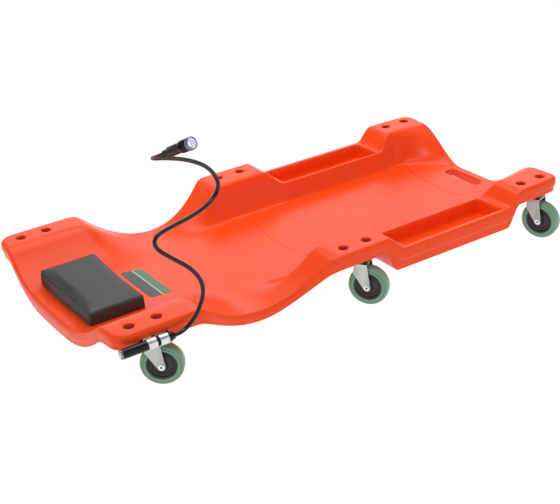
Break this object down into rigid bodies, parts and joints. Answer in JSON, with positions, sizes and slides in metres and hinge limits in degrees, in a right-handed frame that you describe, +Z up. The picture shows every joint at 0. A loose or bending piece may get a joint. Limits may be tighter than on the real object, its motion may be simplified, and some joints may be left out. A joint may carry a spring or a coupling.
{
  "type": "mechanics creeper",
  "caption": "Low moulded plastic bed on swivel casters, with a padded headrest, side tool trays, a hand slot and a clip-on torch on a flexible gooseneck.",
  "frame": {"origin": "on the floor, under the middle of the bed, on its centre line", "axes": "+X towards the foot end (the end with the hand slot), -Y towards the side that carries the torch, +Z up from the floor"},
  "size_m": [0.999, 0.6273, 0.4737],
  "materials": {
    "bed_plastic": "satin",
    "vinyl": "satin",
    "plywood": "matte",
    "zinc": "satin",
    "hub_plastic": "satin",
    "tyre_rubber": "satin",
    "sticker": "satin",
    "black_metal": "gloss",
    "neck_sheath": "satin",
    "grey_metal": "satin",
    "lens_clear": "gloss",
    "led_white": "gloss",
    "pale_plastic": "satin",
    "cell_wrap": "gloss"
  },
  "bodies": {
    "bed_frame": {"bed": "bed_plastic", "headrest_board": "plywood", "headrest_cushion": "vinyl", "headrest_screws": "zinc", "deck_label": "sticker", "caster_bolts": "zinc", "caster_washers": "zinc", "caster_nuts": "zinc", "caster_kingpins": "zinc", "caster_balls": "zinc", "torch_strip": "zinc", "torch_bands": "zinc", "torch_screws": "zinc", "plate_head_near": "zinc", "plate_head_far": "zinc", "plate_mid_near": "zinc", "plate_mid_far": "zinc", "plate_foot_near": "zinc", "plate_foot_far": "zinc"},
    "swivel_head_near": {"fork_head_near": "zinc", "axle_head_near": "zinc"},
    "wheel_head_near": {"hub_head_near": "hub_plastic", "tyre_head_near": "tyre_rubber"},
    "swivel_head_far": {"fork_head_far": "zinc", "axle_head_far": "zinc"},
    "wheel_head_far": {"hub_head_far": "hub_plastic", "tyre_head_far": "tyre_rubber"},
    "swivel_mid_near": {"fork_mid_near": "zinc", "axle_mid_near": "zinc"},
    "wheel_mid_near": {"hub_mid_near": "hub_plastic", "tyre_mid_near": "tyre_rubber"},
    "swivel_mid_far": {"fork_mid_far": "zinc", "axle_mid_far": "zinc"},
    "wheel_mid_far": {"hub_mid_far": "hub_plastic", "tyre_mid_far": "tyre_rubber"},
    "swivel_foot_near": {"fork_foot_near": "zinc", "axle_foot_near": "zinc"},
    "wheel_foot_near": {"hub_foot_near": "hub_plastic", "tyre_foot_near": "tyre_rubber"},
    "swivel_foot_far": {"fork_foot_far": "zinc", "axle_foot_far": "zinc"},
    "wheel_foot_far": {"hub_foot_far": "hub_plastic", "tyre_foot_far": "tyre_rubber"},
    "torch": {"torch_tube": "black_metal", "torch_socket": "black_metal", "torch_tail_ring": "grey_metal", "torch_cells": "cell_wrap", "neck_1": "neck_sheath"},
    "button": {"torch_button": "pale_plastic"},
    "neck_2": {"neck_2": "neck_sheath"},
    "neck_3": {"neck_3": "neck_sheath"},
    "neck_4": {"neck_4": "neck_sheath"},
    "neck_5": {"neck_5": "neck_sheath"},
    "lamp": {"neck_6": "neck_sheath", "lamp_body": "black_metal", "lamp_bezel": "grey_metal", "lamp_lens": "lens_clear", "lamp_led": "led_white", "lamp_clip": "black_metal"}
  },
  "joints": [
    {"name": "swivel_head_near", "type": "hinge", "parent": "bed_frame", "child": "swivel_head_near", "pos_m": [-0.435, -0.217, 0.09], "axis": [0, 0, 1], "continuous": true},
    {"name": "roll_head_near", "type": "hinge", "parent": "swivel_head_near", "child": "wheel_head_near", "pos_m": [-0.41478, -0.2317, 0.0375], "axis": [0.5878, 0.809, 0], "continuous": true},
    {"name": "swivel_head_far", "type": "hinge", "parent": "bed_frame", "child": "swivel_head_far", "pos_m": [-0.435, 0.217, 0.09], "axis": [0, 0, 1], "continuous": true},
    {"name": "roll_head_far", "type": "hinge", "parent": "swivel_head_far", "child": "wheel_head_far", "pos_m": [-0.41478, 0.20231, 0.0375], "axis": [0.5878, 0.809, 0], "continuous": true},
    {"name": "swivel_mid_near", "type": "hinge", "parent": "bed_frame", "child": "swivel_mid_near", "pos_m": [0, -0.214, 0.09], "axis": [0, 0, 1], "continuous": true},
    {"name": "roll_mid_near", "type": "hinge", "parent": "swivel_mid_near", "child": "wheel_mid_near", "pos_m": [0.01469, -0.23422, 0.0375], "axis": [0.809, 0.5878, 0], "continuous": true},
    {"name": "swivel_mid_far", "type": "hinge", "parent": "bed_frame", "child": "swivel_mid_far", "pos_m": [0, 0.214, 0.09], "axis": [0, 0, 1], "continuous": true},
    {"name": "roll_mid_far", "type": "hinge", "parent": "swivel_mid_far", "child": "wheel_mid_far", "pos_m": [0.01469, 0.19378, 0.0375], "axis": [0.809, 0.5878, 0], "continuous": true},
    {"name": "swivel_foot_near", "type": "hinge", "parent": "bed_frame", "child": "swivel_foot_near", "pos_m": [0.435, -0.212, 0.09], "axis": [0, 0, 1], "continuous": true},
    {"name": "roll_foot_near", "type": "hinge", "parent": "swivel_foot_near", "child": "wheel_foot_near", "pos_m": [0.44437, -0.23518, 0.0375], "axis": [0.9272, 0.3746, 0], "continuous": true},
    {"name": "swivel_foot_far", "type": "hinge", "parent": "bed_frame", "child": "swivel_foot_far", "pos_m": [0.435, 0.212, 0.09], "axis": [0, 0, 1], "continuous": true},
    {"name": "roll_foot_far", "type": "hinge", "parent": "swivel_foot_far", "child": "wheel_foot_far", "pos_m": [0.44437, 0.18882, 0.0375], "axis": [0.9272, 0.3746, 0], "continuous": true},
    {"name": "torch_turn", "type": "hinge", "parent": "bed_frame", "child": "torch", "pos_m": [-0.45, -0.258, 0.096], "axis": [1, 0, 0], "range_deg": [-18, 75]},
    {"name": "button_press", "type": "slide", "parent": "torch", "child": "button", "axis": [1, 0, 0], "range_m": [0, 0.0012], "stiffness_N_per_m": 400},
    {"name": "neck_bend_1", "type": "hinge", "parent": "torch", "child": "neck_2", "pos_m": [-0.3405, -0.2575, 0.155], "axis": [0, 1, 0], "range_deg": [-25, 25]},
    {"name": "neck_bend_2", "type": "hinge", "parent": "neck_2", "child": "neck_3", "pos_m": [-0.4005, -0.248, 0.241], "axis": [1, 0, 0], "range_deg": [-25, 25]},
    {"name": "neck_bend_3", "type": "hinge", "parent": "neck_3", "child": "neck_4", "pos_m": [-0.35, -0.237, 0.2795], "axis": [0, 0, 1], "range_deg": [-25, 25]},
    {"name": "neck_bend_4", "type": "hinge", "parent": "neck_4", "child": "neck_5", "pos_m": [-0.2865, -0.23, 0.339], "axis": [1, 0, 0], "range_deg": [-25, 25]},
    {"name": "neck_bend_5", "type": "hinge", "parent": "neck_5", "child": "lamp", "pos_m": [-0.3615, -0.2535, 0.392], "axis": [0, 0, 1], "range_deg": [-25, 25]}
  ]
}
